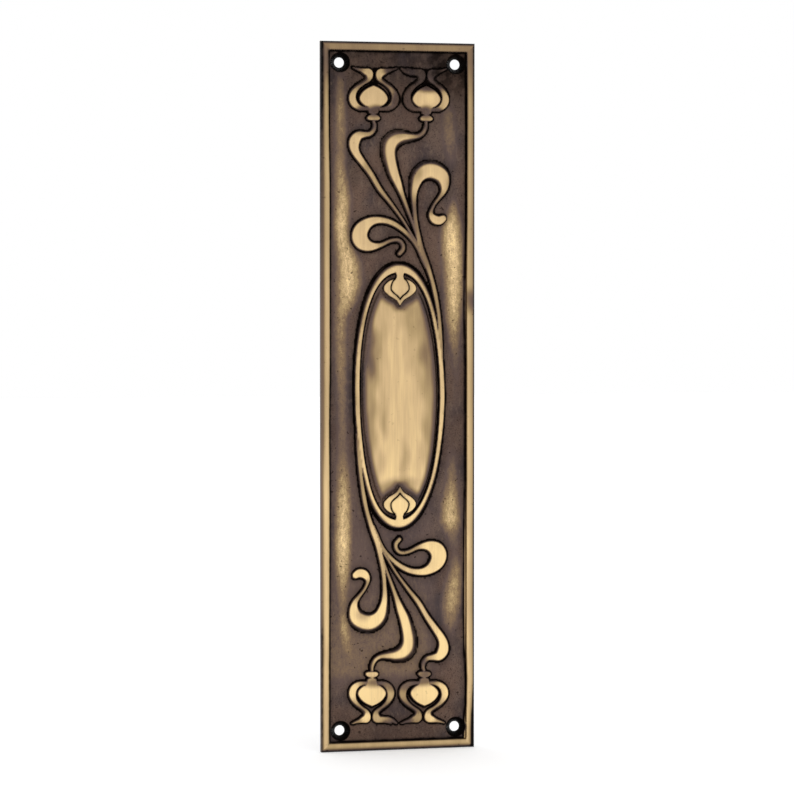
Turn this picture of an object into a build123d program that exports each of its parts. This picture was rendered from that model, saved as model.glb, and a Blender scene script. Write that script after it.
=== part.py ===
# Cast brass finger plate for a door, with poppy ornament in relief, half-turn symmetric.
# Frame: X to the right, Z up, the decorated face towards -Y, the flat back at Y = 0. Millimetres.

import os
from math import sqrt

from build123d import *

# Plate, moulded rim and the field sunk inside it
plate_width = 67.0
plate_length = 300.0
rim_height = 4.0
rim_width = 4.1
rim_outer_round = 1.5
rim_inner_round = 0.5
field_thickness = 2.4
field_corner_radius = 0.25

# Screw holes, measured in from the plate's edges
screw_hole_radius = 2.15
countersink_radius = 4.1
countersink_angle = 90.0
screw_inset_side = 8.3
screw_inset_end = 8.9

# Relief: how far each part of it stands above the field
left_stem_rise = 1.3
right_stem_rise = 1.4
trunk_rise = 1.5
lower_leaf_rise = 1.45
petal_rise = 1.4
bulb_rise = 1.55
neck_rise = 1.25
calyx_rise = 1.35
ring_rise = 1.45
pad_rise = 1.5
bud_rise = 1.35

# Section of a band: its foot spreads past the rubbed top, which falls off a little to each side
band_wall_spread = 0.8
bulb_wall_spread = 0.3
band_crown = 0.45
crown_flat_share = 0.45
relief_root = 0.2
sections_per_station = 2

# Oval ring and the domed finger pad inside it
ring_outer_half_width = 20.4
ring_outer_half_length = 57.4
ring_inner_half_width = 17.0
ring_inner_half_length = 52.4
ring_edge_bevel = 0.6
pad_half_width = 15.0
pad_half_length = 50.0
pad_sections = 10

# Flowers: where their axes stand, and how wide and high their calyx caps are
left_flower_axis = -10.7
right_flower_axis = 12.1
left_calyx_half_width = 3.9
right_calyx_half_width = 2.9
calyx_height = 3.0
calyx_middle = 118.0

# Centre lines of the bands of the upper half: x, z and the width of the rubbed top
left_stem_line = [
    (-9.9, 117.2, 1.6),
    (-10.6, 113.2, 1.8),
    (-14.2, 111.2, 1.9),
    (-18.0, 110.3, 3.4),
    (-19.4, 106.8, 4.2),
    (-18.2, 102.7, 2.9),
    (-13.9, 96.7, 2.0),
    (-8.2, 88.0, 1.7),
    (-0.9, 78.7, 1.0),
    (7.6, 66.2, 0.8),
]
right_stem_line = [
    (11.7, 117.2, 1.4),
    (11.2, 112.8, 1.2),
    (7.0, 110.4, 1.3),
    (1.5, 110.4, 2.8),
    (-2.9, 107.6, 4.4),
    (-3.8, 102.3, 3.9),
    (-1.9, 94.7, 3.5),
    (0.3, 88.7, 1.9),
    (4.3, 78.7, 1.1),
    (7.6, 68.8, 1.0),
]
trunk_line = [
    (17.4, 30.0, 1.0),
    (16.1, 43.9, 1.3),
    (13.2, 53.5, 1.7),
    (9.7, 62.0, 2.0),
    (7.3, 75.3, 1.5),
    (6.7, 85.3, 2.0),
    (8.6, 92.6, 4.2),
    (14.0, 95.9, 6.0),
    (18.8, 93.4, 5.2),
    (20.1, 89.2, 3.0),
    (17.5, 84.3, 1.1),
    (14.9, 80.4, 0.9),
    (14.3, 77.0, 2.0),
    (16.6, 74.6, 3.2),
    (19.7, 76.0, 1.6),
]
lower_leaf_line = [
    (8.6, 63.8, 0.8),
    (4.4, 68.4, 1.5),
    (-1.7, 73.2, 1.9),
    (-7.3, 74.9, 2.2),
    (-13.1, 74.2, 3.6),
    (-17.0, 70.0, 6.3),
    (-16.3, 65.0, 6.4),
    (-11.9, 63.3, 3.8),
    (-7.4, 64.6, 1.4),
    (-1.2, 66.6, 1.2),
    (1.9, 64.4, 1.2),
    (0.2, 60.8, 1.4),
]

# Parts of a flower and the bud at the end of the pad, with x measured from their own axis
petal_line = [
    (0.6, 121.0, 1.2),
    (6.2, 121.6, 2.3),
    (9.1, 125.2, 3.1),
    (7.5, 130.0, 1.8),
    (4.3, 132.9, 1.8),
    (3.6, 136.8, 3.0),
    (8.0, 137.6, 1.6),
    (11.0, 137.6, 0.5),
]
bulb_line = [(0, 122.3, 2.0), (0, 124.0, 9.0), (0, 126.6, 11.6), (0, 129.2, 8.6), (0, 132.0, 0.8)]
neck_line = [(0, 118.5, 3.4), (0, 122.8, 3.8)]
bud_line = [(0, 53.6, 2.2), (0, 49.8, 2.4), (0, 48.0, 9.4), (0, 45.2, 13.0), (0, 42.2, 8.4), (0, 38.7, 0.8)]

# The relief is drawn on this plane, a little below the face of the field
root_plane = Plane.XZ.offset(field_thickness - relief_root)


def band(stations, rise, wall_spread):
    """A crowned band with steep walls, lofted along a smooth line through its stations."""
    with BuildPart() as lofted:
        with BuildLine(root_plane):
            centre = Spline(*[(x, z) for x, z, top_width in stations])
        places = [centre.param_at_point(root_plane.from_local_coords((x, z, 0))) for x, z, top_width in stations]
        for number in range((len(stations) - 1) * sections_per_station + 1):
            station, step = divmod(number, sections_per_station)
            following = min(station + 1, len(stations) - 1)
            share = step / sections_per_station
            place = places[station] * (1 - share) + places[following] * share
            half_top = (stations[station][2] * (1 - share) + stations[following][2] * share) / 2
            half_foot = half_top + wall_spread
            half_flat = half_top * crown_flat_share
            crest = relief_root + rise
            shoulder = crest - min(band_crown, half_top - half_flat)
            along = centre % place
            with BuildSketch(Plane(origin=centre @ place, x_dir=root_plane.z_dir.cross(along), z_dir=along)):
                with BuildLine():
                    Polyline(
                        (-half_foot, 0),
                        (half_foot, 0),
                        (half_top, shoulder),
                        (half_flat, crest),
                        (-half_flat, crest),
                        (-half_top, shoulder),
                        close=True,
                    )
                make_face()
        loft(ruled=True)
    return lofted.part


def shifted(stations, axis, side=1):
    """Stations measured from an axis, moved to that axis on the given side of it."""
    return [(axis + side * x, z, top_width) for x, z, top_width in stations]


def flower(axis, calyx_half_width):
    """One poppy: two curled petals round a domed bulb, on a neck with a calyx cap below."""
    right_petal = band(shifted(petal_line, axis), petal_rise, band_wall_spread)
    left_petal = band(shifted(petal_line, axis, side=-1), petal_rise, band_wall_spread)
    bulb = band(shifted(bulb_line, axis), bulb_rise, bulb_wall_spread)
    neck = band(shifted(neck_line, axis), neck_rise, bulb_wall_spread)
    with BuildPart() as poppy:
        with BuildSketch(root_plane):
            with Locations((axis, calyx_middle)):
                SlotOverall(2 * calyx_half_width + calyx_height, calyx_height)
        extrude(amount=calyx_rise + relief_root)
        cap_edges = poppy.faces().sort_by(Axis.Y)[0].edges()
        chamfer(cap_edges, band_crown)
        add(neck)
        add(bulb)
        add(right_petal)
        add(left_petal)
    return poppy.part


def oval_ring():
    """The raised ring round the pad, widest at its two ends, with bevelled shoulders."""
    with BuildPart() as ring:
        with BuildSketch(root_plane):
            Ellipse(ring_outer_half_width, ring_outer_half_length)
            Ellipse(ring_inner_half_width, ring_inner_half_length, mode=Mode.SUBTRACT)
        extrude(amount=ring_rise + relief_root)
        top_edges = ring.faces().sort_by(Axis.Y)[0].edges()
        chamfer(top_edges, ring_edge_bevel)
    return ring.part


def finger_pad():
    """The low dome that the hand pushes: half ellipses across, lofted from tip to tip."""
    dome = pad_rise + relief_root
    with BuildPart() as pad:
        for number in range(1, pad_sections):
            place = 2 * number / pad_sections - 1
            z = pad_half_length * place * (3 - place * place) / 2
            share = sqrt(1 - (z / pad_half_length) ** 2)
            half_width = pad_half_width * share
            middle = root_plane.from_local_coords((0, z, 0))
            with BuildSketch(Plane(origin=middle, x_dir=(-1, 0, 0), z_dir=(0, 0, 1))):
                with BuildLine():
                    EllipticalCenterArc((0, 0), half_width, dome * share, start_angle=0, arc_size=180)
                    Line((-half_width, 0), (half_width, 0))
                make_face()
        loft(ruled=True)
    return pad.part


left_stem = band(left_stem_line, left_stem_rise, band_wall_spread)
right_stem = band(right_stem_line, right_stem_rise, band_wall_spread)
trunk = band(trunk_line, trunk_rise, band_wall_spread)
lower_leaf = band(lower_leaf_line, lower_leaf_rise, band_wall_spread)
bud = band(bud_line, bud_rise, bulb_wall_spread)
left_flower = flower(left_flower_axis, left_calyx_half_width)
right_flower = flower(right_flower_axis, right_calyx_half_width)

# The ornament of one half, which the other half repeats after a half turn
with BuildPart() as half_ornament:
    add(trunk)
    add(lower_leaf)
    add(left_stem)
    add(right_stem)
    add(left_flower)
    add(right_flower)
    add(bud)

ring = oval_ring()
pad = finger_pad()

# The casting: a rimmed plate with a sunk field, four countersunk holes and the relief
with BuildPart() as door_plate:
    with BuildSketch(Plane.XZ):
        Rectangle(plate_width, plate_length)
    extrude(amount=rim_height)
    rim_outer_edges = door_plate.faces().sort_by(Axis.Y)[0].edges()
    fillet(rim_outer_edges, rim_outer_round)
    with BuildSketch(Plane.XZ.offset(rim_height)):
        Rectangle(plate_width - 2 * rim_width, plate_length - 2 * rim_width)
    extrude(amount=field_thickness - rim_height, mode=Mode.SUBTRACT)
    rim_face = door_plate.faces().sort_by(Axis.Y)[0]
    fillet(rim_face.inner_wires()[0].edges(), rim_inner_round)
    field_face = door_plate.faces().filter_by(Plane.XZ).sort_by(Axis.Y)[1]
    fillet(field_face.edges(), field_corner_radius)
    with Locations(Plane.XZ.offset(field_thickness)):
        with GridLocations(plate_width - 2 * screw_inset_side, plate_length - 2 * screw_inset_end, 2, 2):
            CounterSinkHole(screw_hole_radius, countersink_radius, counter_sink_angle=countersink_angle)
    add(ring)
    add(pad)
    add(half_ornament.part)
    add(half_ornament.part, rotation=(0, 180, 0))

door_plate.part.label = "door_plate"
os.makedirs("parts", exist_ok=True)
export_step(door_plate.part, "parts/door_plate.step")
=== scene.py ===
import math

import bpy
import numpy as np
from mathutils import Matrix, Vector


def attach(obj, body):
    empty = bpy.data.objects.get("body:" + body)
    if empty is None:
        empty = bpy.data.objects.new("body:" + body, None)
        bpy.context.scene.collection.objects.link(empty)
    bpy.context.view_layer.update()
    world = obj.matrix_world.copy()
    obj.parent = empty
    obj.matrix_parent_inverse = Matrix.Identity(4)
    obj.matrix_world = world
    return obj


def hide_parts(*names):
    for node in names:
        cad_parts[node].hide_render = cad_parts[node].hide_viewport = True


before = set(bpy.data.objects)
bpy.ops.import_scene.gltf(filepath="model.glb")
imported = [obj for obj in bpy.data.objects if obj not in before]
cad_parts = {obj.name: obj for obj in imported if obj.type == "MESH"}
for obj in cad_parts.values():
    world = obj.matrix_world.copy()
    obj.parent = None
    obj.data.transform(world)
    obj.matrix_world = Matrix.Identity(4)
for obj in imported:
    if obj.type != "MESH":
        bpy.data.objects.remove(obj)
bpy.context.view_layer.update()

# The casting. One piece of sand-cast brass: a flat back, a moulded rim with mitred corners, a sunk
# field and poppy ornament in low relief, with four holes drilled and countersunk by hand afterwards.
# Sizes are in millimetres, X to the right, Z up, the decorated face towards -Y.
mm = 0.001
plate_half_length = 150.0
field_half_width = 29.4
field_half_length = 145.9
field_face = 2.4
hole_from_middle = 25.2
hole_from_centre = 141.1
hole_radius = 2.15
countersink_radius = 4.1

# The rim's section, from the field outwards: distance out from the field's edge, height above the back
rim_section = [
    (0.05, 2.45),
    (0.18, 2.75),
    (0.30, 3.30),
    (0.45, 3.66),
    (0.75, 3.86),
    (1.20, 3.95),
    (1.90, 3.99),
    (2.50, 3.94),
    (2.95, 3.80),
    (3.35, 3.55),
    (3.70, 3.15),
    (3.95, 2.60),
    (4.10, 2.00),
    (4.10, 0.20),
    (3.95, 0.00),
]

# Bands of the upper half: x, z, width of the rubbed top, width of the wall on the left and on the
# right of the way the band is drawn. The lower half is the same after a half turn.
left_stem = [
    (-10.8, 116.3, 0.9, 0.7, 0.7),
    (-10.4, 114.9, 1.1, 0.8, 0.8),
    (-10.8, 112.9, 1.3, 0.9, 0.9),
    (-12.4, 111.3, 1.5, 0.9, 0.9),
    (-14.8, 110.9, 2.0, 0.9, 0.9),
    (-17.4, 110.4, 3.2, 0.9, 0.9),
    (-19.1, 108.2, 4.2, 0.9, 0.9),
    (-19.3, 105.5, 3.7, 0.8, 0.8),
    (-18.2, 102.7, 2.9, 0.8, 0.8),
    (-15.8, 99.4, 2.4, 0.8, 0.8),
    (-11.9, 94.1, 1.9, 0.8, 0.8),
    (-8.2, 88.0, 1.7, 0.8, 0.8),
    (-3.4, 82.0, 1.2, 0.7, 0.7),
    (1.6, 75.3, 0.9, 0.6, 0.6),
    (5.8, 68.7, 0.8, 0.5, 0.5),
    (8.6, 64.4, 0.8, 0.5, 0.5),
]
right_stem = [
    (12.0, 116.2, 0.9, 0.7, 0.7),
    (11.8, 114.2, 1.0, 0.9, 0.9),
    (10.6, 111.9, 1.2, 0.9, 0.9),
    (8.2, 110.5, 1.3, 1.1, 1.0),
    (4.6, 110.2, 2.0, 1.5, 1.2),
    (1.5, 110.0, 2.8, 1.7, 1.7),
    (-1.3, 109.0, 3.8, 1.7, 2.2),
    (-3.2, 107.0, 4.3, 1.5, 2.3),
    (-3.8, 104.0, 4.0, 1.3, 2.2),
    (-3.3, 100.0, 3.7, 1.1, 1.8),
    (-1.9, 94.7, 3.5, 0.9, 1.4),
    (-0.3, 90.7, 2.8, 0.9, 1.1),
    (1.7, 85.3, 1.6, 0.8, 0.9),
    (4.2, 78.7, 1.1, 0.7, 0.8),
    (6.5, 72.5, 0.9, 0.5, 0.6),
    (8.3, 67.0, 0.9, 0.5, 0.5),
]
trunk_and_upper_leaf = [
    (19.0, 16.0, 0.6, 0.5, 0.6),
    (18.5, 22.0, 1.3, 0.5, 0.6),
    (18.0, 28.0, 1.6, 0.5, 0.7),
    (17.7, 32.6, 1.4, 0.5, 0.8),
    (17.2, 36.8, 1.4, 0.5, 0.8),
    (15.9, 43.9, 1.6, 0.6, 0.8),
    (14.3, 50.3, 1.5, 0.7, 0.8),
    (12.1, 56.8, 1.9, 0.8, 0.8),
    (10.0, 62.0, 2.1, 0.8, 0.8),
    (8.7, 67.5, 1.8, 0.7, 0.7),
    (7.4, 74.0, 1.6, 0.7, 0.7),
    (6.8, 80.5, 1.5, 0.9, 0.7),
    (6.7, 85.3, 2.0, 1.2, 0.8),
    (7.3, 89.2, 2.8, 1.5, 0.8),
    (8.9, 93.3, 4.3, 1.8, 0.9),
    (11.9, 95.6, 5.4, 1.9, 1.2),
    (15.4, 95.7, 5.6, 1.9, 1.3),
    (18.9, 93.8, 5.1, 1.3, 1.3),
    (20.1, 90.4, 3.5, 0.8, 1.1),
    (19.6, 87.3, 2.1, 0.7, 0.8),
    (17.9, 84.8, 1.2, 0.7, 0.7),
    (15.7, 82.0, 0.9, 0.7, 0.7),
    (14.3, 79.2, 1.1, 0.7, 0.7),
    (14.2, 77.2, 2.0, 0.8, 0.7),
    (15.6, 75.4, 3.2, 0.8, 0.7),
    (17.7, 74.9, 3.3, 0.8, 0.6),
    (19.4, 75.7, 2.6, 0.8, 0.5),
]
lower_leaf = [
    (11.9, 55.0, 0.8, 0.6, 0.6),
    (10.1, 59.0, 1.0, 0.6, 0.6),
    (8.4, 62.9, 1.1, 0.5, 0.6),
    (6.2, 66.3, 1.2, 0.5, 0.6),
    (2.7, 70.1, 1.6, 0.6, 0.8),
    (-1.7, 73.2, 1.9, 0.7, 0.9),
    (-5.8, 74.7, 2.1, 0.8, 0.9),
    (-10.0, 74.9, 2.7, 0.9, 0.9),
    (-13.5, 73.6, 3.9, 0.9, 0.9),
    (-16.1, 71.1, 5.6, 0.9, 0.9),
    (-17.0, 68.2, 6.4, 0.9, 0.8),
    (-16.0, 65.7, 6.0, 0.9, 0.8),
    (-13.6, 64.2, 4.3, 0.9, 0.8),
    (-10.8, 63.9, 2.7, 0.8, 0.8),
    (-7.4, 64.6, 1.4, 0.8, 0.8),
    (-3.8, 66.2, 1.1, 0.8, 0.8),
    (-0.4, 66.6, 1.2, 0.8, 0.8),
    (1.6, 65.1, 1.2, 0.8, 0.8),
    (1.9, 62.8, 1.4, 0.8, 0.8),
    (0.4, 60.9, 1.4, 0.8, 0.8),
]

# Parts of a flower, with x measured from its own axis
petal = [
    (2.2, 121.7, 1.0, 0.6, 0.6),
    (4.4, 121.8, 1.4, 0.6, 0.6),
    (6.7, 122.4, 2.1, 0.7, 0.6),
    (8.6, 124.0, 2.8, 0.7, 0.6),
    (9.3, 126.2, 2.9, 0.7, 0.6),
    (8.7, 128.4, 2.2, 0.7, 0.9),
    (7.0, 130.5, 1.4, 0.6, 1.2),
    (4.5, 132.3, 0.9, 0.5, 1.3),
    (2.7, 133.6, 1.4, 0.5, 1.2),
    (2.0, 135.1, 2.3, 0.5, 1.0),
    (2.4, 136.8, 3.2, 0.5, 0.8),
    (4.0, 137.4, 2.4, 0.5, 0.8),
    (5.7, 137.9, 1.4, 0.5, 0.7),
    (7.5, 138.3, 0.9, 0.5, 0.5),
    (9.4, 138.9, 0.4, 0.5, 0.5),
]
broad_tip = [
    (-2.6, 136.9, 2.0, 0.6, 0.6),
    (-5.0, 137.3, 2.2, 0.6, 0.6),
    (-7.4, 137.4, 2.0, 0.6, 0.6),
    (-9.4, 138.0, 1.3, 0.6, 0.6),
    (-10.8, 138.9, 0.5, 0.6, 0.6),
]

# Outlines of the parts that lie on an axis: distance from it and z, from the top down
bulb = [
    (0.0, 131.4),
    (2.3, 130.4),
    (4.5, 128.8),
    (5.9, 126.6),
    (5.6, 124.9),
    (4.1, 123.4),
    (2.7, 122.6),
    (2.1, 121.7),
    (1.9, 120.8),
    (1.7, 120.2),
    (1.0, 119.8),
    (0.0, 119.7),
]
calyx = [(0.0, 119.3), (1.3, 119.1), (2.3, 118.5), (2.7, 117.8), (2.2, 117.2), (1.1, 117.0), (0.0, 117.0)]
bud = [
    (2.6, 54.4),
    (1.7, 52.6),
    (1.4, 51.2),
    (2.0, 50.3),
    (4.5, 49.3),
    (6.4, 47.7),
    (7.0, 46.2),
    (6.5, 44.8),
    (4.8, 43.2),
    (3.1, 42.2),
    (1.4, 41.0),
    (0.0, 38.9),
]
inner_bud = [
    (2.0, 50.3),
    (3.1, 49.1),
    (3.8, 47.4),
    (3.9, 45.8),
    (3.2, 44.7),
    (2.2, 43.8),
    (1.1, 42.9),
    (0.0, 41.6),
]
bud_axis = 0.5

# Heights at which the bud's tip ends, the line cut into it ends, the bulb's groove begins and the
# petals begin to lean
bud_tip_end = 42
cut_line_end = 50.5
groove_start = 122
lean_start = 131


def shifted(stations, axis, side=1, width=1.0, lean=0.0):
    """Stations measured from an axis, moved to it, mirrored for a flower's left side (side -1)."""
    moved = []
    for x, z, top, left_wall, right_wall in stations:
        walls = (left_wall, right_wall) if side > 0 else (right_wall, left_wall)
        moved.append((axis + side * width * x + lean * max(0, z - lean_start), z, top, *walls))
    return moved


# Bands and outlined parts of one half, each with its rise above the field and how well it is buffed in
# the upper and in the lower half; an outlined part also has its wall and the width of its groove
bands = [
    (left_stem, 1.35, (1.0, 1.0)),
    (right_stem, 1.40, (1.0, 1.0)),
    (trunk_and_upper_leaf, 1.50, (1.0, 1.0)),
    (lower_leaf, 1.45, (1.0, 1.0)),
]
outlined = [(bud, bud_axis, 1.56, 0.5, (1.0, 1.0), 0)]

# The two flowers: axis of the petals and of the bulb, how wide the petals are, how far their tops
# lean, and how well the left and the right petal are buffed in each half
flowers = [
    (-10.75, -10.95, 1.0, 0.05, (0.95, 0.98), (0.92, 0.62)),
    (12.1, 12.05, 0.90, 0.0, (0.10, 0.72), (0.95, 0.98)),
]
petal_rise = 1.40
bulb_rise = 1.55
calyx_rise = 1.50
broad_tip_rise = 1.20
for petal_axis, bulb_axis, width, lean, left_buff, right_buff in flowers:
    for side, buffs in ((-1, left_buff), (1, right_buff)):
        bands.append((shifted(petal, petal_axis, side, width, lean), petal_rise, buffs))
    outlined.append((bulb, bulb_axis, bulb_rise, 0.8, (1.0, 1.0), 1.0))
    outlined.append((calyx, bulb_axis, calyx_rise, 0.6, (0.78, 0.86), 0))
bands.append((shifted(broad_tip, 12.1), broad_tip_rise, (0.1, 0.7)))

# The lower half is the upper one after a half turn, set by the pattern maker a little right and up.
# Neither it nor the ring stands quite true: how far right and up each is, and how wide the ring is,
# at these heights. The lower flowers also stand at a slant, a little back to the left.
sway_heights = [-60, -48, -34, -20, 0, 30, 60]
lower_sway = [0.7, 0.85, 1.1, 0.9, 0.5, 0.5, 0.5]
lower_rise = [0.65, 0.8, 1.1, 0.65, 0.65, 0.65, 0.65]
ring_sway = [-0.1, -0.1, 0.35, 0.42, 0.45, 0.05, 0.1]
ring_width = [1.01, 1.01, 0.99, 0.985, 1.0, 1.01, 1.07]


def of_half(x, z, way):
    """The place in the upper half's drawing: itself (way 1) or turned back from the lower half (-1)."""
    if way > 0:
        return x, z
    slant = -(0.34 + 0.028 * x) * np.interp(z, [-112, -95], [1, 0])
    right = np.interp(z, sway_heights, lower_sway)
    right = right + np.interp(z, [-150, -118, -90, -60], [-0.45, -0.4, -0.2, 0])
    return right - x, np.interp(z, sway_heights, lower_rise) + slant - z


def smooth_line(given, steps=4):
    """Points on a smooth line through the given ones, every column blended alike."""
    given = np.array(given, float)
    ends = np.vstack([2 * given[0] - given[1], given, 2 * given[-1] - given[-2]])
    points = []
    for a, b, c, d in zip(ends[:-3], ends[1:-2], ends[2:-1], ends[3:]):
        for step in range(steps):
            t = step / steps
            bend = (c - a) * t + (2 * a - 5 * b + 4 * c - d) * t**2 + (3 * b - a - 3 * c + d) * t**3
            points.append(b + bend / 2)
    points.append(given[-1])
    return np.array(points)


# What stands for a point out of a part's reach, and how far round a part points are looked at
far_off = 9.0
walls_around = 4.5
margin_around = 4.0
least_wall = 0.2


def across_band(x, z, stations):
    """How far down a band's wall each point lies, 0 to 1, and what the band measures there."""
    down = np.full(x.shape, far_off)
    off_middle = np.ones(x.shape)
    half_top = np.ones(x.shape)
    wall_width = np.ones(x.shape)
    line = smooth_line(stations)
    line[:, 2:] = np.maximum(line[:, 2:], least_wall)
    for (x0, z0, w0, l0, r0), (x1, z1, w1, l1, r1) in zip(line[:-1], line[1:]):
        reach = max(w0, w1) / 2 + walls_around * max(l0, l1, r0, r1)
        near = (x > min(x0, x1) - reach) & (x < max(x0, x1) + reach)
        near &= (z > min(z0, z1) - reach) & (z < max(z0, z1) + reach)
        index = np.nonzero(near)[0]
        px, pz = x[index] - x0, z[index] - z0
        dx, dz = x1 - x0, z1 - z0
        share = np.clip((px * dx + pz * dz) / (dx * dx + dz * dz + 1e-9), 0, 1)
        away = np.hypot(px - share * dx, pz - share * dz)
        half = (w0 + (w1 - w0) * share) / 2
        on_left = dx * (pz - share * dz) - dz * (px - share * dx) > 0
        wall = np.where(on_left, l0 + (l1 - l0) * share, r0 + (r1 - r0) * share)
        new = (away - half) / wall
        better = new < down[index]
        chosen = index[better]
        down[chosen] = new[better]
        off_middle[chosen] = np.minimum(away[better] / half[better], 1.2)
        half_top[chosen] = half[better]
        wall_width[chosen] = wall[better]
    return down, off_middle, half_top, wall_width


def from_outline(x, z, axis, outline):
    """Distance outside an outline that is the same on both sides of its axis, negative inside."""
    line = smooth_line(outline)
    off_axis = np.abs(x - axis)
    gap = np.full(x.shape, far_off)
    near = (z > line[:, 1].min() - margin_around) & (z < line[:, 1].max() + margin_around)
    near &= off_axis < line[:, 0].max() + margin_around
    index = np.nonzero(near)[0]
    px, pz = off_axis[index], z[index]
    nearest = np.full(index.shape, far_off)
    for (x0, z0), (x1, z1) in zip(line[:-1], line[1:]):
        dx, dz = x1 - x0, z1 - z0
        share = np.clip(((px - x0) * dx + (pz - z0) * dz) / (dx * dx + dz * dz + 1e-9), 0, 1)
        nearest = np.minimum(nearest, np.hypot(px - x0 - share * dx, pz - z0 - share * dz))
    edge = np.interp(pz, line[::-1, 1], line[::-1, 0], left=-1, right=-1)
    gap[index] = np.where(px < edge, -nearest, nearest)
    return gap


def from_oval(x, z, half_width, half_length, power):
    """Distance outside a superellipse, negative inside, near enough close to its line."""
    u = np.abs(x) / half_width + 1e-6
    v = np.abs(z) / half_length + 1e-6
    total = u**power + v**power
    size = total ** (1 / power)
    slope_x = total ** (1 / power - 1) * u ** (power - 1) / half_width
    slope_z = total ** (1 / power - 1) * v ** (power - 1) / half_length
    return (size - 1) / np.hypot(slope_x, slope_z)


def eased(t):
    """0 below nought, 1 above one, and a soft rise between."""
    t = np.clip(t, 0, 1)
    return t * t * (3 - 2 * t)


def bell(distance, width):
    """1 on a line, fading out on both sides of it."""
    return np.exp(-((distance / width) ** 2))


# The ring and the pad: half width, half length and power of each oval line, and their heights
ring_top_outer = (19.4, 55.3, 2.0)
ring_foot_outer = (20.2, 57.0, 2.15)
ring_top_inner = (17.6, 52.5, 2.2)
ring_foot_inner = (17.0, 51.8, 2.3)
pad_edge = (15.8, 49.4, 2.1)
ring_middle_height = 0.45
ring_rise = 1.45
pad_rise = 1.45
valley_rise = 0.25
dome_half_width = 17.5
dome_half_length = 70

# How wide the slope is that keeps the pad clear of the bud, how far the tops of the bands and of the
# outlined parts fall off to their sides, and the line cut into the bud
bud_clearance = 2.2
band_crown = 0.4
outlined_crown = 0.25
cut_width = 0.38
cut_depth = 0.4

# Patina and painted shade round each raised part: a black line of patina along the foot of its wall, a
# black valley where it meets a part of the same height, painted shade on its wall, a groove round the
# bulb in the upper and in the lower half, a channel beside the bud, and a soft halo of painted shade on
# the field
foot_line_width = 0.34
foot_line_strength = 1.6
valley_depth = 0.22
painted_wall_shade = 0.88
painted_wide_wall_shade = 0.75
groove_darkness = (0.85, 0.65)
channel_darkness = 0.6
shade_halo_width = 1.3
shade_halo_darkness = 0.62


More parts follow.
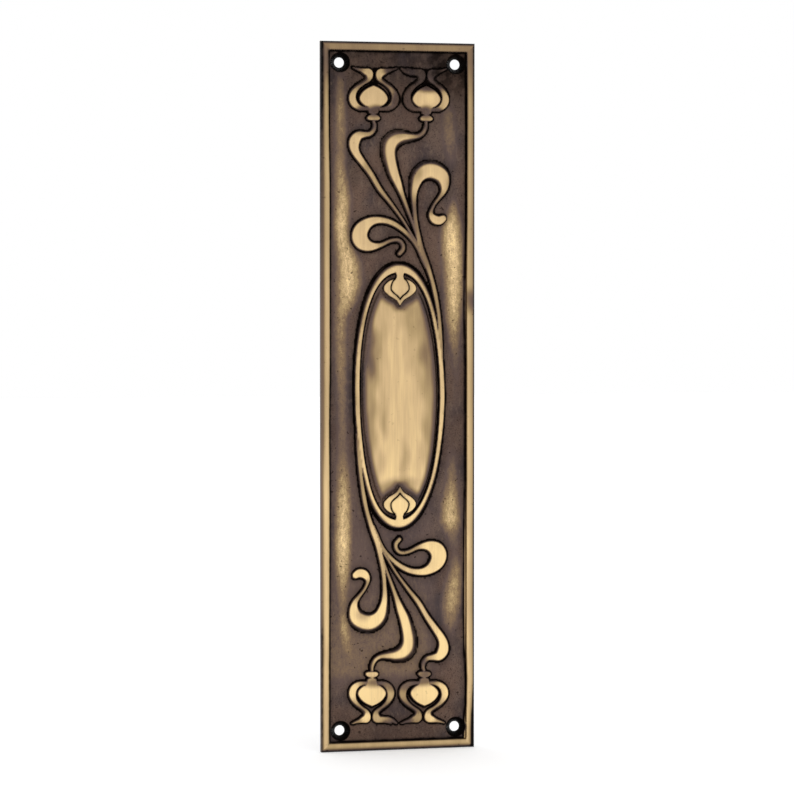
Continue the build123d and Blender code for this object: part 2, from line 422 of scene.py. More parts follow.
def relief(x, z):
    """Height above the field, how well the buff reaches each point, and how black the patina and the
    painted shade are.
    """
    height = np.zeros(x.shape)
    reach = np.zeros(x.shape)
    line = np.zeros(x.shape)
    shade_halo = np.zeros(x.shape)
    slope = np.ones(x.shape)

    def lay(part_height, down, wall, part_reach, blackness=1.0, wall_shade=painted_wall_shade):
        """Adds a part: where it stands higher it hides what lay there, and a valley stays dark; its wall
        gets painted shade, and the field round it a halo of painted shade.
        """
        foot = foot_line_strength * bell((down - 1) * wall, foot_line_width) * eased((down - 0.35) / 0.4)
        foot = blackness * np.minimum(1, foot) * (part_height > height - 0.12)
        # painted shade on the part's wall
        wall_black = wall_shade * blackness * eased((down - 0.05) / 0.5) * (down < 1)
        valley = bell(part_height - height, valley_depth) * eased(down / 0.25) * eased(slope / 0.25)
        valley = blackness * valley * (part_height > 0.1) * (height > 0.1)
        above = part_height > height
        level = np.abs(part_height - height) < 0.2
        reach[:] = np.where(level, np.maximum(part_reach, reach), np.where(above, part_reach, reach))
        line[:] = np.where(above & (down < 0.7), 0, line)
        line[:] = np.maximum(line, np.maximum(foot, valley))
        line[:] = np.where(above, np.maximum(line, wall_black), line)
        # painted shade: a soft dark halo on the field round the part
        fading = np.exp(-np.maximum(down - 1, 0) * wall / shade_halo_width)
        shade_halo[:] = np.maximum(shade_halo, shade_halo_darkness * blackness * fading)
        slope[:] = np.where(above, np.clip(down, 0, 1), slope)
        height[:] = np.maximum(height, part_height)

    # the oval ring, with a wide outer wall and a short inner one
    right = (x - np.interp(z, sway_heights, ring_sway)) / np.interp(z, sway_heights, ring_width)
    up = z - ring_middle_height
    outside = from_oval(right, up, *ring_top_outer)
    outer_wall = np.maximum(outside - from_oval(right, up, *ring_foot_outer), least_wall)
    inner_wall = 0.6
    inside = -from_oval(right, up, *ring_top_inner)
    down = np.maximum(outside / outer_wall, inside / inner_wall)
    wall = np.where(outside > 0, outer_wall, inner_wall)
    lay(ring_rise * (1 - eased(down)), down, wall, 1 - eased((down + 0.25) / 0.7))

    # the pad, a low dome that stops short of the ring and of the bud at each end
    pad_sway = np.interp(z, [-36, -24, -14, -6], [0.4, 0.35, 0.1, 0])
    edge = -from_oval(right - pad_sway, up, *pad_edge)
    bud_gap = np.minimum(*[from_outline(*of_half(x, z, way), bud_axis, bud) for way in (1, -1)])
    end_slope = eased((bud_gap - 0.4) / bud_clearance)
    round_top = np.clip(1 - (right / dome_half_width) ** 2 - (up / dome_half_length) ** 2, 0, 1)
    dome = 0.55 + 0.45 * np.sqrt(round_top)
    pad_height = valley_rise + (pad_rise - valley_rise) * eased((edge + 0.9) / 1.1) * end_slope * dome
    pad_height = pad_height * eased((0.4 - from_oval(right, up, *ring_foot_inner)) / 0.4)
    # the pad is less buffed towards the bud, most near its tip: partly the buff falling short on the slope,
    # partly painted shade round the bud
    near_tip = 1.4 * bell(right - 0.35, 2.2)
    pad_reach = 0.99 * eased((edge + 0.6) / 3.2) * eased((bud_gap + near_tip - 0.5) / 4.2)
    lay(pad_height, 0.3 - edge, 1.0, pad_reach, blackness=0.3)

    # the channel between the ring and the bud's shoulders
    channel = eased((inside - 0.1) / 0.6) * (1 - eased((inside - 2.0) / 0.9))
    channel = channel * (1 - eased((bud_gap - 1.4) / 1.2)) * (1 - eased((np.abs(right) - 4.2) / 2.6))
    line[:] = np.maximum(line, channel_darkness * channel)

    # the bands and outlined parts of both halves; the painted shade on a wide wall is a little lighter than
    # on a steep one, and the black line fades out at the bud's tip
    for half_number, way in enumerate((1, -1)):
        u, v = of_half(x, z, way)
        for stations, rise, buffs in bands:
            down, off_middle, half_top, wall = across_band(u, v, stations)
            top = rise - band_crown * np.minimum(1, half_top) * off_middle**2
            narrow = 0.55 + 0.45 * eased((half_top - 0.35) / 1.0)
            buffed = buffs[half_number] * narrow * (1 - eased((down + 0.30) / 0.75))
            wall_shade = np.interp(wall, [0.9, 1.7], [painted_wall_shade, painted_wide_wall_shade])
            lay(top * (1 - eased(down)), down, wall, buffed, wall_shade=wall_shade)
        faint_tip = 1 - 0.5 * bell(u - bud_axis, 1.6) * (v < bud_tip_end)
        for outline, axis, rise, wall, buffs, groove in outlined:
            gap = from_outline(u, v, axis, outline)
            top = rise - outlined_crown * (1 - eased(-gap / 3.0))
            down = gap / wall
            buffed = buffs[half_number] * (1 - eased((down + 0.30) / 0.75))
            lay(top * (1 - eased(down)), down, wall, buffed, faint_tip)
            if groove:
                black = groove_darkness[half_number] * (1 - eased((gap - 1.0) / groove))
                black = black * (v > groove_start)
                line[:] = np.where((gap > 0.6) & (height < 0.5), np.maximum(line, black), line)

        # the line cut into the bud
        cut = bell(from_outline(u, v, bud_axis, inner_bud), cut_width) * (v < cut_line_end)
        height[:] = height - cut_depth * cut
        line[:] = np.maximum(line, np.minimum(1, 1.5 * cut))
    return height, reach, np.where(height < 0.1, np.maximum(line, shade_halo), line)


# The field is a fine net, subdivided twice more where the relief rises from it and round the holes
net_cell = 1.3
bpy.ops.object.select_all(action="DESELECT")
bpy.ops.mesh.primitive_grid_add(
    x_subdivisions=round(2 * field_half_width / net_cell),
    y_subdivisions=round(2 * field_half_length / net_cell),
    size=1,
    location=(0, -field_face * mm, 0),
    rotation=(math.radians(90), 0, 0),
)
casting = bpy.context.object
casting.name = "plate_casting"
bpy.ops.object.mode_set(mode="EDIT")
bpy.ops.transform.resize(value=(2 * field_half_width * mm, 1, 2 * field_half_length * mm))
bpy.ops.object.mode_set(mode="OBJECT")
bpy.ops.object.transform_apply(location=True, rotation=True, scale=True)
bpy.context.tool_settings.mesh_select_mode = (False, False, True)


def vertex_places(mesh):
    """The mesh's x, y and z, in millimetres."""
    flat = np.empty(len(mesh.vertices) * 3)
    mesh.vertices.foreach_get("co", flat)
    return flat.reshape(-1, 3) / mm


def from_hole(x, z):
    """Distance outside the countersink of the nearest hole, negative inside."""
    return np.hypot(np.abs(x) - hole_from_middle, np.abs(z) - hole_from_centre) - countersink_radius


# Each time: how wide a cell is, and the least step in height over it for which it is subdivided
for cell, least_step in ((net_cell, 0.06), (net_cell / 2, 0.27)):
    mesh = casting.data
    middles = np.empty(len(mesh.polygons) * 3)
    mesh.polygons.foreach_get("center", middles)
    x, y, z = middles.reshape(-1, 3).T / mm
    corners = ((0, 0), (0.7, 0.7), (0.7, -0.7), (-0.7, 0.7), (-0.7, -0.7))
    heights = [relief(x + a * cell, z + b * cell)[0] for a, b in corners]
    step = np.max(heights, axis=0) - np.min(heights, axis=0)
    mesh.polygons.foreach_set("select", (step > least_step) | (np.abs(from_hole(x, z)) < cell))
    bpy.ops.object.mode_set(mode="EDIT")
    bpy.ops.mesh.subdivide(number_cuts=1)
    bpy.ops.mesh.select_all(action="DESELECT")
    bpy.ops.object.mode_set(mode="OBJECT")

places = vertex_places(casting.data)
x, y, z = places.T
on_edge = (np.abs(x) > field_half_width - 0.01) | (np.abs(z) > field_half_length - 0.01)
places[:, 1] = -(field_face + np.where(on_edge, 0, relief(x, z)[0]))
casting.data.vertices.foreach_set("co", (places * mm).ravel())
casting.data.update()

# The rim is drawn out from the net's border, one step of its section at a time
bpy.context.tool_settings.mesh_select_mode = (False, True, False)
bpy.ops.object.mode_set(mode="EDIT")
bpy.ops.mesh.select_all(action="DESELECT")
bpy.ops.mesh.select_non_manifold()
out_before, up_before = 0.0, field_face
for out, up in rim_section:
    bpy.ops.mesh.extrude_region_move(TRANSFORM_OT_translate={"value": (0, -(up - up_before) * mm, 0)})
    wider = (field_half_width + out) / (field_half_width + out_before)
    longer = (field_half_length + out) / (field_half_length + out_before)
    bpy.ops.transform.resize(value=(wider, 1, longer), center_override=(0, 0, 0))
    out_before, up_before = out, up
bpy.ops.mesh.edge_face_add()
bpy.ops.mesh.select_all(action="SELECT")
bpy.ops.mesh.normals_make_consistent(inside=False)
bpy.ops.object.mode_set(mode="OBJECT")

# Each hole is drilled by a round cutter that flares out to the countersink, and stands out behind the
# back and in front of the rim
cone_depth = countersink_radius - hole_radius
past_back = 1.0
past_front = 4.0
cutters = []
for side_x in (1, -1):
    for side_z in (1, -1):
        middle = (side_x * hole_from_middle * mm, 0, side_z * hole_from_centre * mm)
        bpy.ops.object.select_all(action="DESELECT")
        bpy.ops.mesh.primitive_cylinder_add(
            vertices=48,
            radius=hole_radius * mm,
            depth=(field_face - cone_depth + past_back) * mm,
            location=(middle[0], (past_back - field_face + cone_depth) / 2 * mm, middle[2]),
            rotation=(math.radians(90), 0, 0),
        )
        cutter = bpy.context.object
        bpy.ops.object.transform_apply(location=True, rotation=True, scale=True)
        bpy.context.tool_settings.mesh_select_mode = (False, False, True)
        bpy.ops.object.mode_set(mode="EDIT")
        bpy.ops.mesh.select_all(action="DESELECT")
        bpy.ops.object.mode_set(mode="OBJECT")
        for polygon in cutter.data.polygons:
            polygon.select = polygon.normal.y < -0.9
        bpy.ops.object.mode_set(mode="EDIT")
        flare = countersink_radius / hole_radius
        bpy.ops.mesh.extrude_region_move(TRANSFORM_OT_translate={"value": (0, -cone_depth * mm, 0)})
        bpy.ops.transform.resize(value=(flare, 1, flare), center_override=middle)
        bpy.ops.mesh.extrude_region_move(TRANSFORM_OT_translate={"value": (0, -past_front * mm, 0)})
        bpy.ops.object.mode_set(mode="OBJECT")
        cutters.append(cutter)
for cutter in cutters:
    drill = casting.modifiers.new("drill", "BOOLEAN")
    drill.operation = "DIFFERENCE"
    drill.solver = "MANIFOLD"
    drill.object = cutter
    bpy.context.view_layer.objects.active = casting
    bpy.ops.object.modifier_apply(modifier=drill.name)
    bpy.data.objects.remove(cutter)

bpy.ops.object.select_all(action="DESELECT")
casting.select_set(True)
bpy.context.view_layer.objects.active = casting
bpy.ops.object.shade_smooth_by_angle(angle=math.radians(50))

# The finish of each point is kept with the mesh: how well the buff reached it, with painted light and shade
# in it, how black its patina and painted shade are, and how far the flat field is rubbed
x, y, z = vertex_places(casting.data).T
height, reach, line = relief(x, z)

# The rim was dressed by hand, so that its inner edge wanders: height, and how far the edge stands out.
# Its bright part is narrower at the lower right corner.
left_wander = [
    (-150, 1.15),
    (-112, 1.1),
    (-86, 0.7),
    (-45, 0.55),
    (-10, 0.75),
    (15, 0.35),
    (90, 0.35),
    (115, 0.9),
    (150, 1.25),
]
right_wander = [
    (-150, -0.6),
    (-141, -0.55),
    (-131, 0.2),
    (-120, 0.3),
    (-106, -0.3),
    (-88, -0.6),
    (-60, -0.35),
    (-35, 0.0),
    (15, 0.0),
    (41, -0.3),
    (75, 0.25),
    (122, 0.4),
    (141, 0.2),
    (150, 0.0),
]
rim_width = 4.1
out_x = np.abs(x) - field_half_width
out_z = np.abs(z) - field_half_length
wander = np.where(x < 0, np.interp(z, *zip(*left_wander)), np.interp(z, *zip(*right_wander)))
narrow_corner = np.where(x > 0, np.interp(z, [-141, -122], [0.9, 0]), 0)
out_x = out_x - wander * np.clip(1 - out_x / rim_width, 0, 1) + narrow_corner * np.clip(out_x / 2.5, 0, 1)
out = np.maximum(out_x, out_z)
in_field = out < 0
left, right, upper, lower = range(4)
side = np.where(out_x > out_z, np.where(x < 0, left, right), np.where(z > 0, upper, lower))

# Painted light: the metal is made brighter towards the bottom, where the light falls stronger
painted_light_heights = [-150, -60, -44, -24, 0, 60, 125, 150]
reach = reach * np.interp(z, painted_light_heights, [0.98, 0.97, 0.95, 0.88, 0.84, 0.82, 0.80, 0.72])

# The rim is rubbed unevenly, and painted light and shade lie across its rounded section and differ from
# side to side; its outer wall is black with patina, and painted shade blackens the outer round where it
# turns away from the light. For its left, right,
# upper and lower side: distances out from the field, how bright it is there, and how black
rim_wear_and_shading = [
    (
        [0.1, 0.4, 1.2, 1.9, 2.4, 2.9, 3.3, 4.1],
        [0.3, 0.95, 0.96, 0.92, 0.85, 0.62, 0.45, 0.40],
        [0, 0, 0, 0, 0, 0.3, 0.8, 1],
    ),
    (
        [0.2, 0.6, 1.1, 1.6, 2.6, 3.0, 3.4, 3.8],
        [0.45, 0.88, 0.95, 0.9, 0.74, 0.62, 0.22, 0.05],
        [0, 0, 0, 0, 0, 0.1, 0.8, 1],
    ),
    (
        [0.1, 0.5, 1.2, 1.8, 2.6, 3.1, 3.5, 4.1],
        [0.2, 0.46, 0.50, 0.50, 0.52, 0.42, 0.1, 0.0],
        [0.3, 0, 0, 0, 0, 0.2, 0.9, 1],
    ),
    (
        [0.2, 0.7, 1.2, 1.8, 2.4, 2.9, 3.4, 4.0],
        [0.35, 0.66, 0.70, 0.70, 0.60, 0.36, 0.15, 0.05],
        [0, 0, 0, 0, 0, 0.3, 0.7, 0.9],
    ),
]

# How much of that holds along the two long sides, less towards the top as painted shade; the left side is
# black only near its ends, its front and its wall not quite alike
rim_length = [-150, -138, -100, -85, -35, 0, 40, 75, 125, 142, 150]
long_side_wear_and_light = [0.84, 0.87, 0.90, 0.90, 0.90, 0.84, 0.82, 0.78, 0.72, 0.48, 0.5]
left_front_black = [0.8, 0.9, 0.85, 0.15, 0.05, 0.1, 0.15, 0.45, 0.9, 0.95, 0.95]
left_wall_black = [0.75, 0.75, 0.7, 0.1, 0.1, 0.1, 0.15, 0.75, 0.95, 0.95, 0.95]
rim_patina_and_shade = np.zeros(x.shape)
on_front = y < -2.3
off_back_edge = y < -0.6

# On the long sides the black comes further in near the top, and near the bottom on the right alone
black_out = out + np.interp(z, [100, 122, 150], [0, 0.35, 0.4])
black_out = black_out + np.interp(z, [-150, -130, -110], [0.2, 0.25, 0]) * np.where(x > 0, 1, -1)
for number, (distances, amounts, blacks) in enumerate(rim_wear_and_shading):
    on_long_side = number in (left, right)
    rim_wear_and_light = np.interp(out, distances, amounts) * off_back_edge
    blacks_here = np.interp(black_out if on_long_side else out, distances, blacks)
    black = np.where(on_front, 1, 0.6) * blacks_here
    if on_long_side:
        rim_wear_and_light = rim_wear_and_light * np.interp(z, rim_length, long_side_wear_and_light)
    if number == left:
        # painted highlight on the left rim's outer shoulder, stronger towards the bottom
        shoulder_highlight = np.interp(out, [1.2, 2.2, 2.8, 3.4, 3.8], [0, 0.04, 0.2, 0.18, 0])
        rim_wear_and_light = rim_wear_and_light + shoulder_highlight * eased((-10 - z) / 30)
        front_black = np.interp(z, rim_length, left_front_black)
        wall_black = np.interp(z, rim_length, left_wall_black)
        black = blacks_here * np.where(on_front, front_black, wall_black)
    reach = np.where(~in_field & (side == number), rim_wear_and_light, reach)
    rim_patina_and_shade = np.where(side == number, black, rim_patina_and_shade)

# Places that the buff missed, and places of painted shade, on the flowers, leaves, pad and rim: x, z, half
# width, half height, how much. Below nought it worked harder there. The sides of each place waver a little.
missed_and_shaded = [
    (-9.9, -112.6, 2.4, 5.0, -0.4),
    (-7.8, 25.0, 3.4, 17.0, 0.15),
    (-8.6, -28.0, 3.2, 9.0, 0.14),
    (11.4, -17.0, 3.4, 15.0, 0.13),
    (-7.0, -5.0, 2.8, 15.0, 0.11),
    (4.2, 21.0, 3.2, 11.0, 0.09),
    (8.6, -26.0, 3.0, 10.0, 0.08),
    (-0.9, 125.6, 3.6, 7.4, 0.97),
    (-1.5, 138.0, 5.4, 2.8, 0.92),
    (-20.4, 138.6, 4.4, 2.4, 0.9),
    (-5.8, 121.6, 6.0, 2.0, 0.9),
    (-15.6, 121.4, 4.0, 1.8, 0.75),
    (-10.9, 120.8, 4.4, 3.0, 0.92),
    (17.5, 136.8, 8.6, 5.2, 0.98),
    (17.6, 132.4, 2.6, 2.2, 0.7),
    (12.1, 131.6, 8.0, 3.2, 0.95),
    (12.0, 120.8, 4.4, 3.0, 0.92),
    (21.8, 89.5, 2.2, 6.0, 0.3),
    (-14.7, -91.6, 4.2, 3.8, 0.26),
    (12.4, 126.6, 4.8, 3.8, -0.12),
    (17.0, 121.4, 3.0, 1.6, 0.8),
    (-10.4, 114.6, 1.8, 3.0, 0.45),
    (11.8, 114.4, 2.0, 3.4, 0.5),
    (9.6, 111.4, 3.4, 1.6, 0.35),
    (14.6, 81.0, 2.6, 3.8, 0.3),
    (-0.4, 64.0, 5.0, 4.4, 0.5),
    (5.6, 72.0, 3.6, 10.0, 0.35),
    (6.6, 80.0, 2.6, 6.0, 0.3),
    (11.0, 60.0, 3.4, 14.0, 0.35),
    (-6.0, 77.0, 5.0, 2.2, 0.2),
    (-14.0, 97.0, 2.6, 5.0, 0.15),
    (-16.0, 112.2, 4.0, 2.0, 0.25),
    (-0.6, 111.0, 5.0, 2.0, 0.2),
    (7.6, 95.4, 3.0, 5.0, 0.25),
    (-19.4, 8.0, 2.4, 44.0, 0.16),
    (-13.0, 24.0, 4.4, 17.0, 0.36),
    (-12.8, 19.0, 2.6, 15.0, 0.40),
    (-10.8, 13.0, 3.6, 12.0, 0.30),
    (-12.5, -10.0, 3.8, 24.0, 0.30),
    (8.5, 16.0, 5.5, 22.0, 0.14),
    (0.0, -38.0, 10.5, 5.0, 0.42),
    (12.5, 22.0, 4.6, 23.0, 0.34),
    (13.6, -6.0, 4.0, 36.0, 0.20),
    (6.5, 33.0, 6.5, 10.0, 0.20),
    (1.0, 39.5, 14.0, 6.0, 0.12),
    (2.6, -27.5, 2.8, 12.0, 0.20),
    (-6.0, -11.0, 2.2, 8.0, 0.14),
    (-4.0, -123.0, 5.0, 2.4, 0.35),
    (3.0, -123.0, 5.0, 2.6, 0.45),
    (-11.6, -120.8, 8.6, 2.6, 0.55),
    (11.2, -120.8, 8.6, 2.8, 0.62),
    (2.0, -137.4, 4.5, 2.4, 0.5),
    (-2.8, -137.6, 4.0, 2.2, 0.45),
    (10.8, -112.8, 2.4, 4.0, 0.6),
    (11.0, -117.8, 4.6, 2.2, 0.60),
    (31.5, 41.0, 4.0, 6.0, 0.55),
    (-31.0, 141.0, 3.0, 8.0, 0.3),
]
for mx, mz, half_x, half_z, amount in missed_and_shaded:
    waver = 0.18 * half_x * np.sin(z / 2.3 + mx)
    gap = np.hypot((x + waver - mx) / half_x, (z - mz) / half_z)
    reach = reach * (1 - amount * (1 - eased((gap - 0.1) / 1.1)))

# Black patina stays where the rim meets the field and in the holes; painted shade lies as a haze on the
# field near the rim and at the top and bottom
shade_haze_heights = [-148, -140, -125, 100, 113, 120, 126, 131, 136]
shade_haze = np.interp(z, shade_haze_heights, [0.42, 0.26, 0, 0, 0.12, 0.25, 0.40, 0.52, 0.62])
shade_haze = shade_haze + 0.15 * eased((x - 10) / 8) * eased((z - 110) / 8)
shade_haze = np.maximum(shade_haze, 0.62 * np.exp(-np.abs(out) / 1.6))
groove = np.minimum(1, 1.3 * bell(out, 0.8))
shoulder = np.where(side == left, 0.62, 0.38)
groove = np.where(in_field, groove, np.maximum(bell(out, shoulder), rim_patina_and_shade))
line = np.maximum(line * in_field, groove)
line = np.where(in_field, np.maximum(line, shade_haze * (1 - np.clip(1.6 * reach, 0, 1))), line)
line = np.maximum(line, 1 - eased((from_hole(x, z) + 0.1) / 0.8))
reach = reach * eased(from_hole(x, z) / 0.8)

# Places where the patina lies blacker on the field, such as the slots between the petals' tops: x, z,
# half width, half height, how much
blackened = [
    (-10.2, 134.6, 1.0, 5.0, 1.0),
    (-10.2, 138.1, 1.8, 1.2, 1.0),
    (-10.8, 131.8, 2.6, 2.2, 1.0),
    (12.1, 134.6, 1.0, 5.0, 1.0),
    (12.1, 138.1, 1.8, 1.2, 1.0),
    (12.1, 131.8, 2.6, 2.2, 1.0),
    (1.0, 139.4, 3.0, 0.8, 0.9),
    (0.3, 126.0, 1.6, 3.4, 0.9),
    (-11.8, -133.6, 1.0, 5.0, 0.55),
    (11.0, -133.6, 1.0, 5.0, 0.55),
    (-11.8, -130.8, 2.4, 2.0, 0.6),
    (11.0, -130.8, 2.4, 2.0, 0.6),
    (0.6, -125.2, 1.2, 3.0, 0.8),
    (25.8, -6.0, 5.0, 38.0, 0.22),
    (-0.8, 69.0, 6.0, 3.5, 0.5),
    (-19.5, 96.0, 3.6, 9.0, 0.34),
    (0.0, 146.0, 30.0, 6.0, 0.12),
]
low_ground = in_field & (height < 0.5)
for mx, mz, half_x, half_z, amount in blackened:
    gap = np.hypot((x - mx) / half_x, (z - mz) / half_z)
    black = amount * (1 - eased((gap - 0.5) / 0.8))
    line = np.where(low_ground, np.maximum(line, black), line)

# Ribbons of the flat field that hands and the buff have rubbed: z, left and right edge, how much
left_rubbing = [
    (140, -27.5, -22.5, 0.0),
    (134, -27.7, -22.5, 0.40),
    (121, -27.8, -22.2, 0.60),
    (112, -28.2, -21.8, 0.54),
    (104, -28.4, -21.8, 0.46),
    (98, -28.6, -22.5, 0.58),
    (91, -28.4, -21.0, 0.68),
    (83, -28.2, -20.0, 0.80),
    (73, -28.6, -21.0, 0.94),
    (66, -28.2, -20.4, 0.88),
    (57, -27.4, -16.0, 0.92),
    (48, -27.8, -15.4, 0.96),
    (41, -28.0, -17.4, 0.80),
    (34, -28.4, -21.4, 0.64),
    (26, -28.4, -21.8, 0.57),
    (14, -28.2, -21.6, 0.55),
    (4, -27.6, -21.6, 0.46),
    (-4, -27.2, -21.6, 0.42),
    (-22, -27.5, -21.0, 0.38),
    (-30, -27.7, -20.5, 0.56),
    (-42, -27.7, -20.0, 0.84),
    (-52, -28.0, -19.8, 0.90),
    (-62, -28.2, -20.0, 1.00),
    (-70, -28.2, -20.2, 0.88),
    (-76, -27.8, -20.4, 0.76),
    (-84, -27.4, -21.0, 0.52),
    (-89, -26.8, -21.2, 0.46),
    (-97, -26.8, -20.5, 0.72),
    (-105, -26.5, -18.0, 0.54),
    (-112, -25.5, -16.0, 0.40),
    (-118, -25.0, -16.0, 0.26),
    (-128, -25.0, -18.5, 0.0),
]
right_rubbing = [
    (128, 18.0, 25.0, 0.0),
    (120, 17.8, 25.8, 0.40),
    (110, 18.4, 26.5, 0.42),
    (101, 20.0, 26.5, 0.26),
    (94, 21.0, 26.0, 0.0),
    (87, 23.5, 25.5, 0.0),
    (81, 21.5, 26.5, 0.55),
    (72, 18.6, 28.2, 0.98),
    (64, 18.4, 28.8, 1.06),
    (55, 19.4, 29.2, 0.97),
    (44, 19.8, 29.2, 0.93),
    (34, 20.2, 28.3, 0.80),
    (26, 21.2, 27.6, 0.60),
    (16, 22.5, 27.6, 0.36),
    (6, 23.5, 28.0, 0.18),
    (-18, 21.0, 27.0, 0.06),
    (-28, 20.5, 26.8, 0.36),
    (-36, 20.2, 26.8, 0.54),
    (-45, 18.4, 27.4, 0.80),
    (-53, 17.8, 28.0, 0.86),
    (-58, 19.4, 28.0, 0.44),
    (-66, 22.0, 27.6, 0.24),
    (-73, 22.0, 29.0, 0.54),
    (-80, 20.0, 29.0, 0.72),
    (-88, 18.6, 28.4, 0.70),
    (-95, 18.8, 27.2, 0.50),
    (-102, 20.0, 26.0, 0.20),
    (-110, 20.0, 25.0, 0.0),
]
rubbed = np.zeros(x.shape)
for ribbon in (left_rubbing, right_rubbing):
    ribbon_z, left_edge, right_edge, amount = np.array(ribbon[::-1], float).T
    middle = np.interp(z, ribbon_z, (left_edge + right_edge) / 2)
    half = np.interp(z, ribbon_z, (right_edge - left_edge) / 2)
    across_ribbon = 1 - eased(np.abs(x - middle) / half / 1.6)
    rubbed = np.maximum(rubbed, np.interp(z, ribbon_z, amount) * across_ribbon)
flat_field = in_field & (height < 0.05)
rubbed = rubbed * flat_field * eased((-out - 0.2) / 0.8)
line = np.where(rubbed > 0.05, line * (1 - 0.7 * rubbed), line)

# The lower field is rubbed all over, least at the right
light_heights = [-128, -122, -116, -110, -95, -75, -55, -40, -15]
light = np.interp(z, light_heights, [0, 0.16, 0.40, 0.38, 0.33, 0.25, 0.24, 0.28, 0])
light = light * (1 - 0.8 * eased((x - 10) / 10))
rubbed = np.maximum(rubbed, light * flat_field)

# The back was never polished, and hardly blackened
on_back = y > -0.25
reach = np.where(on_back, 0.12, reach)
line = np.where(on_back, 0.1, np.clip(line, 0, 1))
rubbed = np.where(on_back, 0, rubbed)

for name, values in (("reach", reach), ("line", line), ("rubbed", rubbed)):
    layer = casting.data.attributes.new(name, "FLOAT", "POINT")
    layer.data.foreach_set("value", values.astype(np.float32))

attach(casting, "root")
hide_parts("door_plate")


# Antique brass: cast, darkened in a patina bath, then buffed so that only the high parts shine.
# The field stays a brown black with a faint red cloud in it, the relief is pale gold with fine
# brush lines, and the patina stays black where the relief meets the field. Painted shade darkens the
# relief's walls and the field round it, and painted light brightens the lower half.
def linear(hex_colour):
    """A colour written in sRGB hex, as the linear values that a shader takes."""
    channels = [int(hex_colour[i : i + 2], 16) / 255 for i in (1, 3, 5)]
    return [c / 12.92 if c <= 0.04045 else ((c + 0.055) / 1.055) ** 2.4 for c in channels] + [1.0]


def add_node(tree, kind, inputs, **settings):
    """Adds one node with its settings; an input is a value, a hex colour, or a node or socket to link."""
    node = tree.nodes.new("ShaderNode" + kind)
    for name, value in settings.items():
        setattr(node, name, value)
    for socket, value in inputs.items():
        if isinstance(value, bpy.types.Node):
            value = next(output for output in value.outputs if output.enabled)
        if isinstance(value, bpy.types.NodeSocket):
            tree.links.new(value, node.inputs[socket])
        else:
            node.inputs[socket].default_value = linear(value) if isinstance(value, str) else value
    return node


brass = bpy.data.materials.new("antique_brass")
brass.use_nodes = True
tree = brass.node_tree
shader = tree.nodes["Principled BSDF"]
place = add_node(tree, "TexCoord", {}).outputs["Object"]
reach_and_light, line_value, rubbed_value = [
    add_node(tree, "Attribute", {}, attribute_name=name).outputs["Fac"]
    for name in ("reach", "line", "rubbed")
]

# Patterns over the plate: how wide a spot is in millimetres, how much finer detail it has, and its
# scale along Z, which draws brush lines out. The real grain and brush lines are about a tenth of a
# millimetre wide, and are drawn as coarse as they need to show.
patterns = {}
for name, spot_width, detail, scale_along in (
    ("clouds", 13.333, 4, 0.6),
    ("blush", 26.316, 3, 1),
    ("grain", 0.43478, 3, 1),
    ("ragged", 1.25, 4, 0.45),
    ("specks", 1.6129, 1, 1),
    ("brush_lines", 0.66667, 3, 0.05),
    ("wide_brush", 4.1667, 2, 0.16),
    ("patches", 3.3333, 2, 1),
):
    drawn_out = add_node(tree, "Mapping", {"Vector": place, "Scale": (1, 1, scale_along)})
    scale = 1 / (spot_width * mm)
    patterns[name] = add_node(tree, "TexNoise", {"Vector": drawn_out, "Scale": scale, "Detail": detail})
soft = {"interpolation_type": "SMOOTHSTEP"}

# patina of the field, a grey brown with red-brown clouds and a fine grain: each pattern, the levels
# between which its colour comes in, how strong it is, and the colour
patina = "#494041"
for name, low, high, most, hex_colour in (
    ("clouds", 0.34, 0.62, 1.0, "#6E5B51"),
    ("blush", 0.42, 0.60, 0.5, "#705749"),
    ("grain", 0.48, 0.72, 0.7, "#3A2F2D"),
    ("ragged", 0.52, 0.72, 0.5, "#7D6A5C"),
):
    share = add_node(tree, "MapRange", {0: patterns[name], 1: low, 2: high, 4: most}, **soft)
    patina = add_node(tree, "Mix", {0: share, 6: patina, 7: hex_colour}, data_type="RGBA")

# how brightly the field is rubbed, torn by the grain, and the relief buffed and given painted light and
# shade, streaked by the brush
torn = add_node(tree, "Math", {0: patterns["grain"], 1: patterns["ragged"]}, operation="ADD")
torn = add_node(tree, "Math", {0: torn, 1: 0.7, 2: 0.16}, operation="MULTIPLY_ADD")
worn = add_node(tree, "Math", {0: torn, 1: rubbed_value}, operation="MULTIPLY")
brushed = add_node(tree, "Math", {0: patterns["brush_lines"], 1: 0.18, 2: -0.09}, operation="MULTIPLY_ADD")
streaks = add_node(tree, "Math", {0: patterns["wide_brush"], 1: 0.26, 2: brushed}, operation="MULTIPLY_ADD")
streaks = add_node(tree, "Math", {0: streaks, 1: 0.87}, operation="ADD")
buffed = add_node(tree, "Math", {0: streaks, 1: reach_and_light}, operation="MULTIPLY")
polish_and_light = add_node(tree, "Math", {0: worn, 1: buffed}, operation="MAXIMUM")

# the metal is brown where it is hardly rubbed, then tan, then bright gold
metal = add_node(tree, "ValToRGB", {"Fac": polish_and_light})
ramp = metal.color_ramp.elements
for number, (at, hex_colour) in enumerate(
    ((0.20, "#675652"), (0.45, "#8A7258"), (0.65, "#B3996F"), (0.80, "#D2B487"), (1.0, "#FADA9E"))
):
    if number > 1:
        ramp.new(at)
    ramp[number].position = at
    ramp[number].color = linear(hex_colour)
share = add_node(tree, "MapRange", {0: polish_and_light, 2: 0.35}, **soft)
colour = add_node(tree, "Mix", {0: share, 6: patina, 7: metal}, data_type="RGBA")

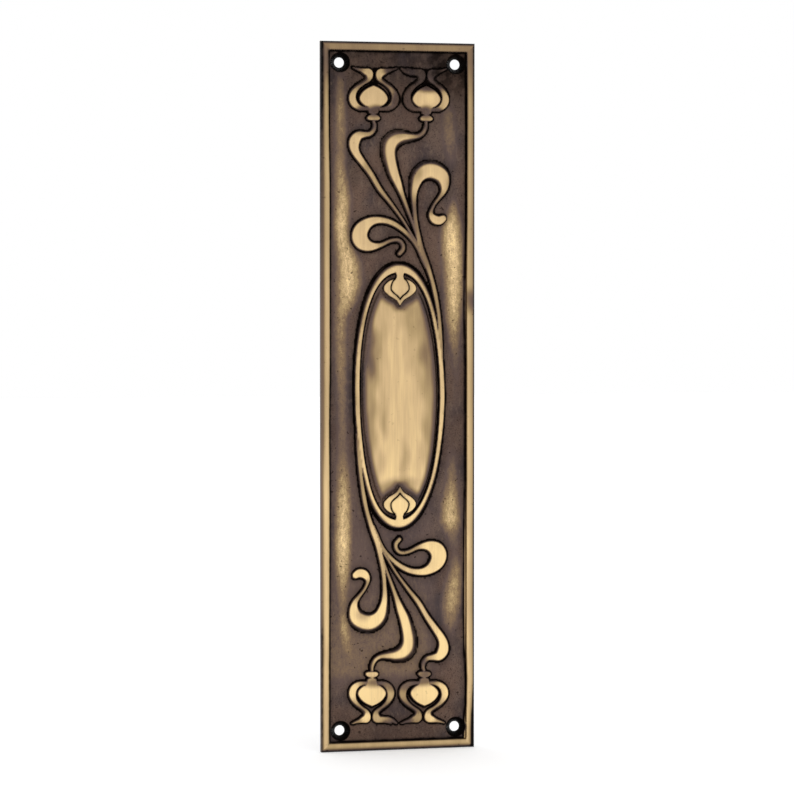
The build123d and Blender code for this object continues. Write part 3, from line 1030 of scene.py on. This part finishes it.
# pits of the casting, fewer where it is buffed
pits = add_node(tree, "MapRange", {0: patterns["specks"], 1: 0.71, 2: 0.77}, **soft)
unbuffed = add_node(tree, "MapRange", {0: reach_and_light, 1: 0.2, 2: 0.8, 3: 0.7, 4: 0.15}, **soft)
pits = add_node(tree, "Math", {0: pits, 1: unbuffed}, operation="MULTIPLY")
colour = add_node(tree, "Mix", {0: pits, 6: colour, 7: "#1E1512"}, data_type="RGBA")

# the black patina and painted shade, a little uneven, and all black where they are thick
uneven = add_node(tree, "MapRange", {0: patterns["patches"], 1: 0.36, 2: 0.6, 3: 0.86}, **soft)
patina_and_shade = add_node(tree, "Math", {0: line_value, 1: uneven}, operation="MULTIPLY")
deep_black = add_node(tree, "MapRange", {0: patina_and_shade, 1: 0.5, 2: 0.8, 4: 0.3}, **soft)
black = add_node(tree, "Math", {0: patina_and_shade, 1: 0.8, 2: deep_black}, operation="MULTIPLY_ADD", use_clamp=True)
colour = add_node(tree, "Mix", {0: black, 6: colour, 7: "#0A0605"}, data_type="RGBA")

# polished metal is smoother than the patina
roughness = add_node(tree, "MapRange", {0: polish_and_light, 1: 0.1, 2: 0.9, 3: 0.55, 4: 0.36}, **soft)
roughness = add_node(tree, "Math", {0: brushed, 1: 0.3, 2: roughness}, operation="MULTIPLY_ADD")

# cast grain and brush lines, a few hundredths of a millimetre deep
skin = add_node(tree, "Math", {0: patterns["grain"], 1: patterns["brush_lines"]}, operation="ADD")
skin = add_node(tree, "Math", {0: skin, 1: 0.6}, operation="MULTIPLY")
bump = add_node(tree, "Bump", {"Strength": 0.35, "Distance": 0.04 * mm, "Height": skin})

tree.links.new(colour.outputs[2], shader.inputs["Base Color"])
tree.links.new(roughness.outputs[0], shader.inputs["Roughness"])
tree.links.new(bump.outputs["Normal"], shader.inputs["Normal"])
shader.inputs["Metallic"].default_value = 1.0
casting.data.materials.clear()
casting.data.materials.append(brass)


# The studio. A pale matt floor under the plate's lower edge, a white room, and one soft lamp low down
# in front. The paper looks white to the camera and in gloss, and keeps the plate's shadow.
bpy.ops.object.select_all(action="DESELECT")
bpy.ops.mesh.primitive_plane_add(size=8, location=(0, 0, -plate_half_length * mm))
floor = bpy.context.object
floor.name = "studio_floor"
paper = bpy.data.materials.new("white_paper")
paper.use_nodes = True
tree = paper.node_tree
paper_shader = tree.nodes["Principled BSDF"]
paper_shader.inputs["Base Color"].default_value = linear("#E7E7E7")
paper_shader.inputs["Roughness"].default_value = 0.9
paper_shader.inputs["Emission Color"].default_value = (1, 1, 1, 1)
ray = add_node(tree, "LightPath", {}).outputs
seen = add_node(tree, "Math", {0: ray["Is Camera Ray"], 1: ray["Is Glossy Ray"]}, operation="MAXIMUM")
seen = add_node(tree, "Math", {0: seen, 1: ray["Is Transmission Ray"]}, operation="MAXIMUM")
glow = add_node(tree, "Math", {0: seen, 1: 0.3}, operation="MULTIPLY")
tree.links.new(glow.outputs[0], paper_shader.inputs["Emission Strength"])
floor.data.materials.append(paper)

world = bpy.data.worlds.new("white_room")
bpy.context.scene.world = world
world.use_nodes = True
world.node_tree.nodes["Background"].inputs["Color"].default_value = (1, 1, 1, 1)
world.node_tree.nodes["Background"].inputs["Strength"].default_value = 1.0

lamp_data = bpy.data.lights.new("low_front_box", "AREA")
lamp_data.shape = "RECTANGLE"
lamp_data.size = 0.7
lamp_data.size_y = 0.5
lamp_data.energy = 8
lamp = bpy.data.objects.new("low_front_box", lamp_data)
bpy.context.scene.collection.objects.link(lamp)
lamp.location = (0.45, -1.1, -0.50)
lamp_aim = Vector((0, 0, -0.10)) - lamp.location
lamp.rotation_euler = lamp_aim.to_track_quat("-Z", "Y").to_euler()

# The camera stands to the left of the plate, a little above its middle
camera_data = bpy.data.cameras.new("camera")
camera = bpy.data.objects.new("camera", camera_data)
bpy.context.scene.collection.objects.link(camera)
camera_data.sensor_width = 36
camera_data.lens = 136.6
camera.location = (-0.3092, -1.2402, 0.0471)
camera_aim = Vector((0.2418, 0.9697, -0.03676))
camera.rotation_euler = camera_aim.to_track_quat("-Z", "Y").to_euler()
bpy.context.scene.camera = camera
bpy.context.scene.view_settings.view_transform = "Standard"
